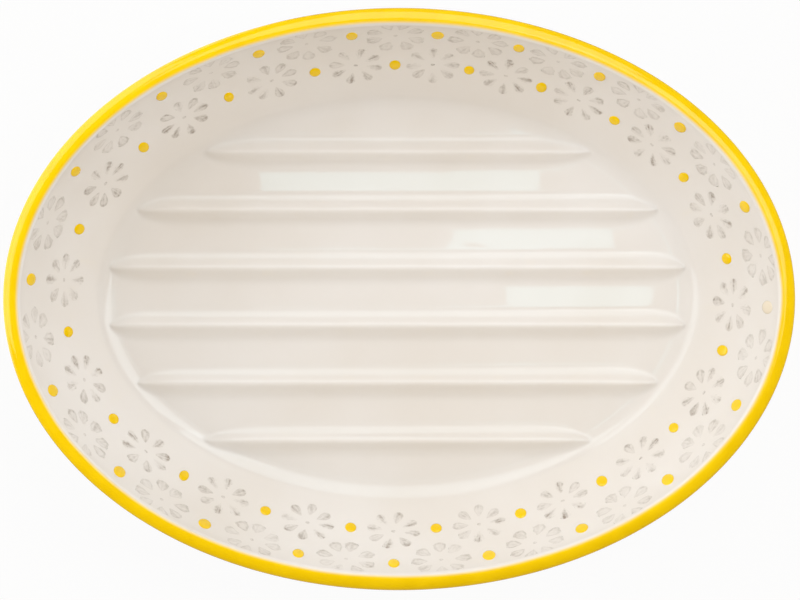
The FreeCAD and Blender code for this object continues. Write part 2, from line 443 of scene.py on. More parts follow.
# %% [markdown]
# ## Cream glaze over clay
#
# The glaze is a warm off-white, glossy enough to mirror the studio lamps. It is wiped off the sole of the
# foot ring before firing, so that the dish doesn't stick to the kiln shelf. There the bare clay shows,
# rough and a little darker. The height in Object coordinates tells the two apart, with a wavy line where
# the sponge went.

# %% Cream glaze material
CREAM_LIGHT = srgb(231, 227, 222)
CREAM_DEEP = srgb(225, 219, 211)
BARE_CLAY = srgb(196, 180, 158)
CREAM_TONE_SCALE = 22.0
CREAM_RIPPLE_SCALE = 420.0
CREAM_RIPPLE_DEPTH = 0.0008 * MM
CREAM_ROUGHNESS = 0.015
CLAY_ROUGHNESS = 0.85
BARE_HEIGHT = 0.55 * MM
BARE_EDGE = 0.15 * MM
SPONGE_WAVE_SCALE = 90.0


def cream_colour(tree):
    """The cream's own colour, and its ripple."""
    tone, ripple = glaze(tree, CREAM_TONE_SCALE, CREAM_RIPPLE_SCALE)
    return mix(tree, tone, CREAM_LIGHT, CREAM_DEEP), ripple


def cream_glaze():
    material, tree, shader = new_material("cream_glaze")
    colour, ripple = cream_colour(tree)
    place = lay(tree, "ShaderNodeTexCoord").outputs["Object"]
    height = parts_of(tree, place)[2]
    sponge = swing(tree, place, SPONGE_WAVE_SCALE, BARE_EDGE)
    bare = (height + sponge).ramp(BARE_HEIGHT - BARE_EDGE, BARE_HEIGHT + BARE_EDGE, 1.0, 0.0)
    plug(tree, shader.inputs["Base Color"], mix(tree, bare, colour, BARE_CLAY))
    plug(tree, shader.inputs["Roughness"], bare * (CLAY_ROUGHNESS - CREAM_ROUGHNESS) + CREAM_ROUGHNESS)
    bump(tree, shader, ripple, CREAM_RIPPLE_DEPTH)
    return material


CREAM = cream_glaze()
print("material:", CREAM.name)

# %% [markdown]
# ## Yellow glaze
#
# The rim band and the drops are one warm yellow. A brush lays it on, so it is streaky: a shade paler where
# it is thin and a shade more orange where it pools. Along its edges the coat runs out to nothing and the
# cream shows through. The meshes carry a number called `thin` for that, 1 at such an edge and 0 on the full
# coat.

# %% Yellow glaze material
YELLOW_FULL = srgb(240, 199, 0)
YELLOW_THIN = srgb(246, 206, 6)
YELLOW_TONE_SCALE = 160.0
YELLOW_RIPPLE_SCALE = 300.0
YELLOW_RIPPLE_DEPTH = 0.012 * MM
YELLOW_ROUGHNESS = 0.1


def yellow_glaze():
    material, tree, shader = new_material("yellow_glaze")
    tone, ripple = glaze(tree, YELLOW_TONE_SCALE, YELLOW_RIPPLE_SCALE)
    cream, _ = cream_colour(tree)
    yellow = mix(tree, tone, YELLOW_FULL, YELLOW_THIN)
    plug(tree, shader.inputs["Base Color"], mix(tree, attribute(tree, "thin"), yellow, cream))
    shader.inputs["Roughness"].default_value = YELLOW_ROUGHNESS
    bump(tree, shader, ripple, YELLOW_RIPPLE_DEPTH)
    return material


YELLOW = yellow_glaze()
print("material:", YELLOW.name)

# %% [markdown]
# ## The clay pressing: a stack of ovals
#
# From the edge of its floor, the dish is a stack of ovals: up the inside wall, over the lip, down the
# outside and under the foot. An oval needs three numbers, its half length, half width and height, and three
# numbers are a point. So the whole profile can be drawn as one line of points, worked out here from the
# sizes above. The inside wall leaves the floor on a round corner, runs up almost straight and curls upright
# under the lip, which a straight share plus a high power of the way up gives.

# %% Ovals of the inside and the lip
def oval_between(low, high, share, rise_share):
    """Oval between two others, at a share of the way out and a share of the way up."""
    return tuple(a + (b - a) * part for a, b, part in zip(low, high, (share, share, rise_share)))


def lip_oval(angle):
    """Oval on the clay lip, at an angle from straight up: inwards is negative, outwards positive."""
    reach = CLAY_LIP_RADIUS * math.sin(angle) - LIP_CROWN_SHIFT * math.cos(angle) ** 2 - LIP_RADIUS
    height = LIP_CENTRE_HEIGHT + CLAY_LIP_RADIUS * math.cos(angle)
    return (DISH_HALF_LENGTH + reach, DISH_HALF_WIDTH + reach, height)


def floor_oval(inset, height):
    """Oval drawn in from the floor's outline by an inset."""
    return (FLOOR_HALF_LENGTH - inset, FLOOR_HALF_WIDTH - inset, height)


def floor_corner_oval(share):
    """Oval on the round corner between the floor and the inside wall."""
    angle = CORNER_START + (CORNER_TURN - CORNER_START) * share
    out_share = (math.sin(angle) - math.sin(CORNER_START)) / (math.sin(CORNER_TURN) - math.sin(CORNER_START))
    up_share = (math.cos(CORNER_START) - math.cos(angle)) / (math.cos(CORNER_START) - math.cos(CORNER_TURN))
    corner_reach = CORNER_RADIUS * math.sin(CORNER_TURN)
    corner_rise = CORNER_RADIUS * (1 - math.cos(CORNER_TURN))
    return floor_oval(-corner_reach * out_share, FLOOR_TOP + corner_rise * up_share)


def inner_wall_oval(share):
    """Oval on the inside wall, from the floor's corner to the lip."""
    rise_share = WALL_STRAIGHT_SHARE * share + (1 - WALL_STRAIGHT_SHARE) * share ** WALL_CURL_POWER
    return oval_between(floor_corner_oval(1), lip_oval(-LIP_INNER_TURN), share, rise_share)


print("ovals at the foot and the top of the inside wall, mm:", *map(in_mm, map(inner_wall_oval, (0, 1))))

# %% Profile of the dish as a line of ovals
CORNER_RINGS = 12
INNER_WALL_RINGS = 18
LIP_RINGS = 22
OUTER_WALL_RINGS = 18
EDGE_RINGS = 4
UNDERSIDE_RINGS = 5
RING_CROWDING = 1.5


def edge_ovals(inset, height, start, end):
    """Ovals round a quarter of a small edge. Angles in degrees count from outwards, 0, over up, 90."""
    ovals = []
    for step in range(EDGE_RINGS + 1):
        angle = math.radians(start + (end - start) * step / EDGE_RINGS)
        across = FOOT_EDGE_RADIUS * math.cos(angle)
        ovals.append(floor_oval(inset - across, height + FOOT_EDGE_RADIUS * math.sin(angle)))
    return ovals


def profile_ovals():
    """All ovals of the dish in order, from just outside the floor's edge to the middle of the underside."""
    turn = LIP_INNER_TURN + LIP_OUTER_TURN
    lip = [lip_oval(turn * step / LIP_RINGS - LIP_INNER_TURN) for step in range(LIP_RINGS + 1)]
    base = floor_oval(-WALL_AT_FLOOR, FOOT_HEIGHT)
    outer_shares = [(step / OUTER_WALL_RINGS) ** RING_CROWDING for step in range(OUTER_WALL_RINGS)]
    ovals = [floor_corner_oval(step / CORNER_RINGS) for step in range(1, CORNER_RINGS + 1)]
    ovals += [inner_wall_oval(step / INNER_WALL_RINGS) for step in range(1, INNER_WALL_RINGS)]
    ovals += lip
    for share in reversed(outer_shares):
        ovals.append(oval_between(base, lip[-1], share, share ** OUTER_CURVE_POWER))
    foot_outside = FOOT_SETBACK - WALL_AT_FLOOR
    foot_inside = foot_outside + FOOT_RING_WIDTH
    high_edge = FOOT_HEIGHT - FOOT_EDGE_RADIUS
    ovals += edge_ovals(foot_outside - FOOT_EDGE_RADIUS, high_edge, 90, 180)
    ovals += edge_ovals(foot_outside + FOOT_EDGE_RADIUS, FOOT_EDGE_RADIUS, 0, -90)
    ovals += edge_ovals(foot_inside - FOOT_EDGE_RADIUS, FOOT_EDGE_RADIUS, 270, 180)
    ovals += edge_ovals(foot_inside + FOOT_EDGE_RADIUS, high_edge, 0, 90)
    half_length, half_width, height = ovals[-1]
    for step in range(1, UNDERSIDE_RINGS + 1):
        share = 1 - step / UNDERSIDE_RINGS
        ovals.append((half_length * share, half_width * share, height))
    return ovals


ovals = profile_ovals()
profile_mesh = bpy.data.meshes.new("dish_profile")
profile_mesh.from_pydata(ovals, [], [])
profile = bpy.data.objects.new("dish_profile", profile_mesh)
bpy.context.scene.collection.objects.link(profile)
print("ovals in the profile:", len(ovals))

# %% [markdown]
# ## The floor's grid and the walls
#
# The floor is a grid of points, squeezed into the oval. Its rows run along the six ribs and crowd together
# on them, because a rib needs many narrow rows and the flat floor between needs few. Only the last rows
# bend into the round edges. The grid's border is then extruded once for each oval of the profile, in a
# Repeat zone, and the last oval closes to a point under the dish. A lathe or a lofted curve could make the
# wall too, but a skin that grows out of the floor's own border joins it with no seam.

# %% Grid of the floor
ROW_CROWDING = 0.45
END_CROWDING = 0.6
CAP_SHARE = 0.957
FLOOR_GRID_SIZE = 2.0


def flat_floor(tree, given):
    """Grid squeezed into the floor's oval. It goes from -1 to 1 both ways, as shares of the oval."""
    half_length, half_width, pitch = given["half_length"], given["half_width"], given["rib_pitch"]
    u, v, _ = parts_of(tree, position(tree))
    row_reach = pitch * given["rib_count"] / 2.0
    line = v * row_reach
    line = line + (line * math.tau / pitch).math("SINE") * pitch * (ROW_CROWDING / math.tau)
    along = u + (u * math.pi).math("SINE") * (END_CROWDING / math.pi)
    x = along * half_length * (line / half_width).arc()
    corner_share = (row_reach / half_width).arc()
    arch = half_width * (along * corner_share).arc() - row_reach
    cap = v.math("ABSOLUTE").ramp(CAP_SHARE, 1.0, smooth=False) * v.math("SIGN")
    place = vector_of(tree, x, line + cap * arch, given["floor_top"])
    return moved(tree, grid(tree, FLOOR_GRID_SIZE, given["columns"], given["rows"]), place)


# %% Rings round the floor
FACES_OF_INNER_EDGE = 2.0


def with_rings(tree, given, floor):
    """The floor with a ring of faces for each oval. Each ring takes over its points' place round it."""
    x, y, _ = parts_of(tree, position(tree))
    round_place = vector_of(tree, x / given["half_length"], y / given["half_width"], 1.0)
    marked = store(tree, floor, "oval_place", round_place, "FLOAT_VECTOR")
    repeat_start = tree.nodes.new("GeometryNodeRepeatInput")
    repeat_end = tree.nodes.new("GeometryNodeRepeatOutput")
    repeat_start.pair_with_output(repeat_end)
    plug(tree, repeat_start.inputs["Iterations"], given["rings"])
    plug(tree, repeat_start.inputs["Geometry"], marked)
    faces_beside = Field(tree, lay(tree, "GeometryNodeInputMeshEdgeNeighbors").outputs[0])
    border = {
        "Mesh": repeat_start.outputs["Geometry"],
        "Selection": faces_beside.math("LESS_THAN", FACES_OF_INNER_EDGE),
        "Offset Scale": 0.0,
    }
    grown = lay(tree, "GeometryNodeExtrudeMesh", border, mode="EDGES")
    sample = {
        "Geometry": shape_of(tree, given["profile"]),
        "Value": position(tree),
        "Index": repeat_start.outputs["Iteration"],
    }
    oval = lay(tree, "GeometryNodeSampleIndex", sample, data_type="FLOAT_VECTOR", domain="POINT").outputs[0]
    shares = {0: oval, 1: stored(tree, "oval_place", "FLOAT_VECTOR")}
    ring_place = lay(tree, "ShaderNodeVectorMath", shares, operation="MULTIPLY").outputs[0]
    ring = moved(tree, grown.outputs["Mesh"], ring_place, grown.outputs["Top"])
    plug(tree, repeat_end.inputs["Geometry"], ring)
    return merged(tree, repeat_end.outputs["Geometry"])


# %% [markdown]
# ## The ribs
#
# Six ribs keep the soap out of the water. Each has a round crest, straight flanks and hollow feet, and at
# both ends its section shrinks in height and in width until it is gone in the round corner. Ribs could be
# modelled once and copied, but these have to blend into one skin of glaze. So a formula lifts each point of
# the floor by its distance to the nearest rib line.
#
# Pressed clay is never quite flat either. The floor gets a slow waviness, faint streaks along the ribs and
# a slight rise towards its far side, so the lamps' reflections bend and break up as they do on the real
# dish.

# %% Section of a rib
RIB_COUNT = 6
RIB_PITCH = 10.4 * MM
RIB_HEIGHT = 1.6 * MM
RIB_CREST_RADIUS = 0.8 * MM
RIB_FOOT_RADIUS = 2.8 * MM
RIB_FLANK = math.radians(40)


def rib_height(across, height, crest, foot):
    """Height of a rib over the floor at a distance from its line: crest arc, straight flank, foot arc."""
    sine = math.sin(RIB_FLANK)
    cosine = math.cos(RIB_FLANK)
    slope = math.tan(RIB_FLANK)
    crest_end = crest * sine
    flank_top = height - crest + crest * cosine
    foot_rise = foot * (1 - cosine)
    foot_start = crest_end + (flank_top - foot_rise) / slope
    reach = foot_start + foot * sine
    on_crest = height - crest + (crest * crest - across * across).root()
    on_flank = flank_top - (across - crest_end) * slope
    to_toe = (reach - across).math("MAXIMUM", 0.0)
    on_foot = foot - (foot * foot - to_toe * to_toe).root()
    lower = choose(across.math("LESS_THAN", foot_start), on_flank, on_foot)
    return choose(across.math("LESS_THAN", crest_end), on_crest, lower)


print("width of all ribs and of the floor in mm:", in_mm((RIB_COUNT * RIB_PITCH, 2 * FLOOR_HALF_WIDTH)))

# %% Lift of the floor
RIB_TIP_OVERRUN = 1.5 * MM
RIB_TIP_SHARE = 0.86
LEAST_SECTION_SHARE = 0.001
FLOOR_WAVE_SCALE = 34.0
FLOOR_WAVE = 0.2 * MM
FLOOR_STREAK_SCALE = 150.0
FLOOR_STREAK_LENGTHENING = 2.5
FLOOR_STREAK = 0.02 * MM
CALM_EDGE_POWER = 4.0
FLOOR_SWEEP = 0.2 * MM
FLOOR_SWEEP_START_SHARE = 0.76
FLOOR_SWEEP_END_SHARE = 1.08
FAR_SIDE_SHARES = (0.72, 0.97)
LEVEL_SLACK = 0.01 * MM


def oval_share(x, y, half_length, half_width):
    """How far out a point lies in an oval: 0 in its middle and 1 on its edge."""
    return ((x / half_length) ** 2.0 + (y / half_width) ** 2.0).root()


def floor_lift(tree, given):
    """How far each point of the floor is lifted: ribs, waviness, streaks and the rise to the far side."""
    half_length, half_width, pitch = given["half_length"], given["half_width"], given["rib_pitch"]
    x, y, z = parts_of(tree, position(tree))
    last_line = (given["rib_count"] - 1.0) / 2.0
    line = ((y / pitch).math("FLOOR") + 0.5).between(last_line * -1.0, last_line) * pitch
    tip_share = oval_share(x, line, half_length + RIB_TIP_OVERRUN, half_width + RIB_TIP_OVERRUN)
    section = tip_share.ramp(RIB_TIP_SHARE, 1.0, smooth=False).arc().math("MAXIMUM", LEAST_SECTION_SHARE)
    across = (y - line).math("ABSOLUTE") / section
    rib = section * rib_height(across, given["rib_height"], given["crest_radius"], given["foot_radius"])

    edge_share = oval_share(x, y, half_length, half_width)
    calm_edge = (1.0 - edge_share ** CALM_EDGE_POWER).math("MAXIMUM", 0.0)
    waves = swing(tree, vector_of(tree, x, y, 0.0), FLOOR_WAVE_SCALE, given["wave"])
    streak_place = vector_of(tree, x / FLOOR_STREAK_LENGTHENING, y, 0.0)
    streaks = swing(tree, streak_place, FLOOR_STREAK_SCALE, given["streak"])
    on_far_side = (y / half_width / edge_share).ramp(*FAR_SIDE_SHARES)
    to_edge = edge_share.ramp(FLOOR_SWEEP_START_SHARE, 1.0, smooth=False) ** 2.0
    past_edge = edge_share.ramp(1.0, FLOOR_SWEEP_END_SHARE, 1.0, 0.0)
    sweep = to_edge * past_edge * on_far_side * given["sweep"]
    inside = z.math("GREATER_THAN", given["floor_top"] - LEVEL_SLACK)
    return (rib + (waves + streaks) * calm_edge + sweep) * inside


print("ribs, waves, streaks and rise in mm:", in_mm((RIB_HEIGHT, FLOOR_WAVE, FLOOR_STREAK, FLOOR_SWEEP)))

# %% Tree for the pressing
def pressing_tree():
    tree, given = new_tree(
        "pressed_dish", columns="count", rows="count", rings="count", profile="object", material="material",
        half_length="number", half_width="number", floor_top="number", rib_pitch="number", rib_count="number",
        rib_height="number", crest_radius="number", foot_radius="number", wave="number", streak="number",
        sweep="number",
    )
    closed = with_rings(tree, given, flat_floor(tree, given))
    lift = vector_of(tree, 0.0, 0.0, floor_lift(tree, given))
    lifted = lay(tree, "GeometryNodeSetPosition", {"Geometry": closed, "Offset": lift}).outputs[0]
    finish_tree(tree, lifted, given["material"])
    return tree


PRESSING = pressing_tree()
print("nodes in the pressing's tree:", len(PRESSING.nodes))

# %% Grow the pressing
FLOOR_COLUMNS = 101
FLOOR_ROWS = 201

body = face_outwards(
    grow(
        "dish_body", PRESSING, columns=FLOOR_COLUMNS, rows=FLOOR_ROWS, rings=len(ovals), profile=profile,
        material=CREAM, half_length=FLOOR_HALF_LENGTH, half_width=FLOOR_HALF_WIDTH, floor_top=FLOOR_TOP,
        rib_pitch=RIB_PITCH, rib_count=float(RIB_COUNT), rib_height=RIB_HEIGHT,
        crest_radius=RIB_CREST_RADIUS, foot_radius=RIB_FOOT_RADIUS, wave=FLOOR_WAVE, streak=FLOOR_STREAK,
        sweep=FLOOR_SWEEP,
    )
)
bpy.data.objects.remove(profile)
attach(body, "root")
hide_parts("stoneware_body")

# %% [markdown]
# ## The painted rim
#
# The yellow band is a coat of glaze about a tenth of a millimetre thick, so it stands up a little from the
# cream. It is painted with a loaded brush while the dish turns: both its edges wander, and the inner one
# fades into the cream. A second material on the body's lip could only follow the mesh's rings, so the band
# is its own skin: a grid wrapped round the lip, once round the dish and once round the coat's own section.
# Along the section, a length is bent round the lip's arc and runs straight on down the wall past its ends.
#
# This skin isn't closed. The back of the section ends a little deeper than its front starts, so a narrow
# seam stays open all round, sunk in the clay under the inner edge. The open edges in the printout are it.

# %% Tree for the rim band
BAND_INNER_RUN = 0.95 * MM
BAND_OUTER_RUN = 3.0 * MM
BAND_WANDER = 0.6 * MM
BAND_FADE = 0.9 * MM
BAND_WANDER_SCALE = 3.2
BAND_UNEVEN = 0.03 * MM
BAND_UNEVEN_SCALE = 9.0
BAND_SINK = 0.04 * MM
BAND_BACK_SINK = 0.08 * MM
BAND_FRONT_SHARE = 0.75
BAND_EDGE_POWER = 6.0
BAND_GRID_SIZE = 1.0
OUTER_EDGE_NOISE_PLACE = 5.0


def band_lift(tree, given, ring, front, behind):
    """How far the coat stands off the clay: full on its front, sunk at both edges and behind."""
    full = 1.0 - ((front - behind) * 2.0 - 1.0).math("ABSOLUTE") ** BAND_EDGE_POWER
    uneven = swing(tree, ring, BAND_UNEVEN_SCALE, BAND_UNEVEN)
    front_lift = full * (given["thickness"] - BAND_UNEVEN / 2.0 + uneven + BAND_SINK) - BAND_SINK
    return choose(behind.math("GREATER_THAN", 0.0), -BAND_BACK_SINK, front_lift)


def band_tree():
    tree, given = new_tree(
        "rim_band", turns="count", across="count", half_length="number", half_width="number",
        lip_height="number", lip_radius="number", thickness="number", material="material",
    )

    # The grid lies about its middle, so half of its size is added to count from 0 to 1.
    u, v, _ = parts_of(tree, position(tree))
    angle = (u + BAND_GRID_SIZE / 2.0) * math.tau
    cosine = angle.math("COSINE")
    sine = angle.math("SINE")
    ring = vector_of(tree, cosine, sine, 0.0)
    raised_ring = vector_of(tree, cosine, sine, OUTER_EDGE_NOISE_PLACE)
    inner_run = swing(tree, ring, BAND_WANDER_SCALE, BAND_WANDER) + BAND_INNER_RUN
    outer_run = swing(tree, raised_ring, BAND_WANDER_SCALE, BAND_WANDER) + BAND_OUTER_RUN

    # The section goes out over the front of the coat, and back behind it.
    way = v + BAND_GRID_SIZE / 2.0
    front = (way / BAND_FRONT_SHARE).math("MINIMUM", 1.0)
    behind = ((way - BAND_FRONT_SHARE) / (1.0 - BAND_FRONT_SHARE)).math("MAXIMUM", 0.0)
    run = (front - behind) * (inner_run + outer_run) - inner_run
    lip = given["lip_radius"]
    coat_radius = lip + band_lift(tree, given, ring, front, behind)
    bend = (run / lip).between(-LIP_INNER_TURN, LIP_OUTER_TURN)
    straight = run - bend * lip
    crown_shift = bend.math("COSINE") ** 2.0 * LIP_CROWN_SHIFT
    reach = coat_radius * bend.math("SINE") + straight * bend.math("COSINE") - crown_shift
    height = coat_radius * bend.math("COSINE") - straight * bend.math("SINE")
    place = vector_of(
        tree,
        (given["half_length"] + reach) * cosine,
        (given["half_width"] + reach) * sine,
        given["lip_height"] + height,
    )
    thin = (run + inner_run).ramp(0.0, BAND_FADE, 1.0, 0.0)
    coat = store(tree, grid(tree, BAND_GRID_SIZE, given["turns"], given["across"]), "thin", thin)
    finish_tree(tree, merged(tree, moved(tree, coat, place)), given["material"])
    return tree


BAND = band_tree()
print("nodes in the band's tree:", len(BAND.nodes))

# %% Grow the rim band
BAND_TURNS = 521
BAND_ACROSS = 41

band = face_outwards(
    grow(
        "rim_band", BAND, turns=BAND_TURNS, across=BAND_ACROSS,
        half_length=DISH_HALF_LENGTH - LIP_RADIUS, half_width=DISH_HALF_WIDTH - LIP_RADIUS,
        lip_height=LIP_CENTRE_HEIGHT, lip_radius=CLAY_LIP_RADIUS, thickness=RIM_GLAZE_THICKNESS,
        material=YELLOW,
    )
)
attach(band, "root")
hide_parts("rim_glaze_band")

# %% [markdown]
# ## Two rows on the wall
#
# Drops and flowers share two level lines round the inside wall, twenty places to a line. They are set by
# hand: from one point on, the places lag behind a little and then catch up. Sample Curve measures along a
# curve, so a place is simply a share of the oval's length. The wall's own mesh gives the direction that
# each piece faces.

# %% Places along a row
ROW_PLACES = 20
HAND_DRIFT_SHARES = (0.58, 0.14)
HAND_DRIFT_PEAK_SHARES = (0.65, 0.11)
UPPER_ROW_SHARE = 0.89
LOWER_ROW_SHARE = 0.435
ROW_CURVE_STEPS = 360
ROW_INPUTS = {
    "wall": "object", "half_length": "number", "half_width": "number", "height": "number",
    "first_place": "number", "seed": "count", "material": "material",
}


def number_of(tree):
    """The number of each element, counted from 0."""
    return Field(tree, lay(tree, "GeometryNodeInputIndex").outputs[0])


def wall_sample(tree, wall, value):
    """A vector of the wall's mesh, at the nearest spot to each point."""
    inputs = {"Mesh": wall, "Value": value, "Sample Position": position(tree)}
    return lay(tree, "GeometryNodeSampleNearestSurface", inputs, data_type="FLOAT_VECTOR").outputs[0]


def wall_facing(tree, wall):
    """The direction that the wall faces, at the nearest spot to each point."""
    return wall_sample(tree, wall, lay(tree, "GeometryNodeInputNormal").outputs[0])


def row_points(tree, given):
    """Points along a row, the rotation that stands a piece up on the wall there, and the wall's mesh."""
    circle = lay(tree, "GeometryNodeCurvePrimitiveCircle", {"Resolution": ROW_CURVE_STEPS, "Radius": 1.0})
    x, y, _ = parts_of(tree, position(tree))
    oval_place = vector_of(tree, x * given["half_length"], y * given["half_width"] * -1.0, given["height"])
    oval = moved(tree, circle.outputs["Curve"], oval_place)
    turn = (number_of(tree) + given["first_place"]) / float(ROW_PLACES)
    share = turn
    for drift, peak in zip(HAND_DRIFT_SHARES, HAND_DRIFT_PEAK_SHARES):
        lag = ((turn - peak) * math.tau).math("COSINE").math("MAXIMUM", 0.0) ** 2.0
        share = share + lag * (drift / ROW_PLACES)
    way = {"Curves": oval, "Factor": share.math("FRACT")}
    on_oval = lay(tree, "GeometryNodeSampleCurve", way, mode="FACTOR")
    points = lay(tree, "GeometryNodePoints", {"Count": ROW_PLACES}).outputs[0]
    placed = moved(tree, points, on_oval.outputs["Position"])
    wall = shape_of(tree, given["wall"])
    axes = {"Primary Axis": wall_facing(tree, wall), "Secondary Axis": on_oval.outputs["Tangent"]}
    stand = lay(tree, "FunctionNodeAxesToRotation", axes, primary_axis="Z", secondary_axis="X").outputs[0]
    return placed, stand, wall


def row_values(row_share, first_place, seed, material):
    """Inputs that every tree of a row takes."""
    half_length, half_width, height = inner_wall_oval(row_share)
    return {
        "wall": body, "half_length": half_length, "half_width": half_width, "height": height,
        "first_place": first_place, "seed": seed, "material": material,
    }


for name, row_share in (("upper", UPPER_ROW_SHARE), ("lower", LOWER_ROW_SHARE)):
    print(name, "row, mm:", in_mm(inner_wall_oval(row_share)))

# %% [markdown]
# ## Drops of yellow glaze
#
# Each drop is a low dome, set with the tip of a brush, and no two are quite the same size or quite round.
# One dome is made from a sphere: its upper half is flattened to the drop's height and its lower half is
# sunk into the wall. Wet glaze sags a little down the slope, so the dome is longer than wide. Instance on
# Points sets it at the row's places with a small random stretch. One drop of the upper row is almost worn
# away, so the number `thin` is high all over it.

# %% Tree for a row of drops
DROP_RISE = 0.26 * MM
DROP_SINK = 0.12 * MM
DROP_STRETCH = 0.1
DROP_FADE = 0.25
DROP_WEAR = 0.8
DROP_SEGMENTS = 20
DROP_RINGS = 10
SAME_NUMBER = 0.5


def random_between(tree, low, high, number, seed):
    """A random number for each element, always the same for the same seed."""
    node = lay(tree, "FunctionNodeRandomValue", data_type="FLOAT")
    values = {"Min": low, "Max": high, "ID": number, "Seed": seed}
    for slot in node.inputs:
        if slot.enabled and slot.name in values:
            plug(tree, slot, values[slot.name])
    return Field(tree, next(socket for socket in node.outputs if socket.enabled))


def island_of(tree):
    """The number of the island that each point belongs to."""
    return Field(tree, lay(tree, "GeometryNodeInputMeshIsland").outputs["Island Index"])


def drops_tree():
    tree, given = new_tree(
        "glaze_drops", radius="number", sag="number", rise="number", worn_place="count", **ROW_INPUTS
    )
    x, y, z = parts_of(tree, position(tree))
    lift = choose(z.math("GREATER_THAN", 0.0), z * given["rise"], z * DROP_SINK)
    dome_place = vector_of(tree, x * given["radius"], y * given["radius"] * given["sag"], lift)
    faded = store(tree, ball(tree, DROP_SEGMENTS, DROP_RINGS), "thin", z.ramp(0.0, DROP_FADE, 1.0, 0.0))
    dome = moved(tree, faded, dome_place)
    points, stand, _ = row_points(tree, given)
    number = number_of(tree)
    wide, long = (
        random_between(tree, 1.0 - DROP_STRETCH, 1.0 + DROP_STRETCH, number, given["seed"] + float(axis))
        for axis in range(2)
    )
    drops = realized(tree, copies(tree, points, dome, stand, vector_of(tree, wide, long, 1.0)))
    wear = island_of(tree).math("COMPARE", given["worn_place"], SAME_NUMBER) * DROP_WEAR
    worn = store(tree, drops, "thin", Field(tree, stored(tree, "thin")).math("MAXIMUM", wear))
    finish_tree(tree, worn, given["material"])
    return tree


DROPS = drops_tree()
print("nodes in the drops' tree:", len(DROPS.nodes))

# %% Set both rows of drops
NO_PLACE = -1
DROP_ROWS = {
    "upper_row_drops": dict(
        node="upper_row_dots", row=(UPPER_ROW_SHARE, 0.0, 3), radius=1.12 * MM, sag=1.5, worn_place=0
    ),
    "lower_row_drops": dict(
        node="lower_row_dots", row=(LOWER_ROW_SHARE, 0.5, 11), radius=0.98 * MM, sag=1.3, worn_place=NO_PLACE
    ),
}
for name, row in DROP_ROWS.items():
    settings = {label: row[label] for label in ("radius", "sag", "worn_place")}
    drops = face_outwards(grow(name, DROPS, rise=DROP_RISE, **row_values(*row["row"], YELLOW), **settings))
    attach(drops, "root")
    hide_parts(row["node"])

# %% [markdown]
# ## Stamped flowers: the pigment
#
# The flowers are dabbed on with a stamp in a thin grey-brown pigment, and the clear glaze goes over them.
# Some petals take the colour well and are dark in the middle, with brush strokes in them and soft edges. On
# others the pigment has crept to the edge and left a pale loop. Each petal carries its own coordinates as
# attributes: how far along it a point lies, how far across and how near its edge. The shader draws a dark
# core or a loop from them, and fades to the very same cream as the wall at the petal's edge, so no outline
# shows.

# %% Print material
PRINT_DARK = srgb(140, 127, 112)
PRINT_STRENGTH = 0.85
PRINT_ROUGHNESS = 0.015
PETAL_FADE_SHARE = 0.75

BLOT_SCALE = 1300.0
BLOT_DETAIL = 2.0
BLOT_ROUGHNESS = 0.6
BLOT_DEPTH = 0.6
BLOT_LEAST = 0.5

CREEP_SCALE = 1500.0
CREEP = 1.3
CREEP_LENGTHWISE = 0.4

STROKE_LENGTHS = 1.4
STROKE_WIDTHS = 2.4
STROKE_SPREAD = 60.0
STROKE_DETAIL = 1.0
STROKE_SHARES = (0.4, 0.6)

CORE_ACROSS_SHARES = (0.05, 0.9)
CORE_ALONG_SHARES = (-0.1, 0.65)
CORE_STROKES = 0.7
CORE_GROUND = 0.4

LOOP_EDGE_SHARES = (0.45, 0.8)
LOOP_ALONG_SHARES = (0.0, 0.6)
LOOP_AT_START = 0.4
LOOP_EDGE = 0.55
LOOP_STROKES = 0.25
LOOP_GROUND = 0.2


def flower_print():
    material, tree, shader = new_material("flower_print")
    along, across, edge, tone, loop = (
        attribute(tree, name) for name in ("along", "across", "edge", "tone", "loop")
    )
    colour, ripple = cream_colour(tree)
    place = lay(tree, "ShaderNodeTexCoord").outputs["Object"]
    blot = noise(tree, place, BLOT_SCALE, BLOT_DETAIL, BLOT_ROUGHNESS).ramp(NOISE_LOW, NOISE_HIGH)
    creep = swing(tree, place, CREEP_SCALE, CREEP)
    stroke_place = vector_of(tree, along * STROKE_LENGTHS, across * STROKE_WIDTHS, tone * STROKE_SPREAD)
    strokes = noise(tree, stroke_place, 1.0, STROKE_DETAIL).ramp(*STROKE_SHARES)
    core_across = (across + creep).math("ABSOLUTE").ramp(*CORE_ACROSS_SHARES, 1.0, 0.0)
    core_along = (along + creep * CREEP_LENGTHWISE).ramp(*CORE_ALONG_SHARES)
    core = core_across * core_along * (strokes * CORE_STROKES + CORE_GROUND)
    loop_edge = (edge + creep * CREEP_LENGTHWISE).ramp(*LOOP_EDGE_SHARES)
    loop_edge = loop_edge * along.ramp(*LOOP_ALONG_SHARES, LOOP_AT_START, 1.0)
    looped = loop_edge * LOOP_EDGE + strokes * LOOP_STROKES + LOOP_GROUND
    drawn = (core * (1.0 - loop) + looped * loop).math("MINIMUM", 1.0)
    kept_in = edge.ramp(PETAL_FADE_SHARE, 1.0, 1.0, 0.0)
    share = drawn * kept_in * tone * (blot * BLOT_DEPTH + BLOT_LEAST) * PRINT_STRENGTH
    plug(tree, shader.inputs["Base Color"], mix(tree, share, colour, PRINT_DARK))
    shader.inputs["Roughness"].default_value = PRINT_ROUGHNESS
    bump(tree, shader, ripple, CREAM_RIPPLE_DEPTH)
    return material


PRINT = flower_print()
print("material:", PRINT.name)

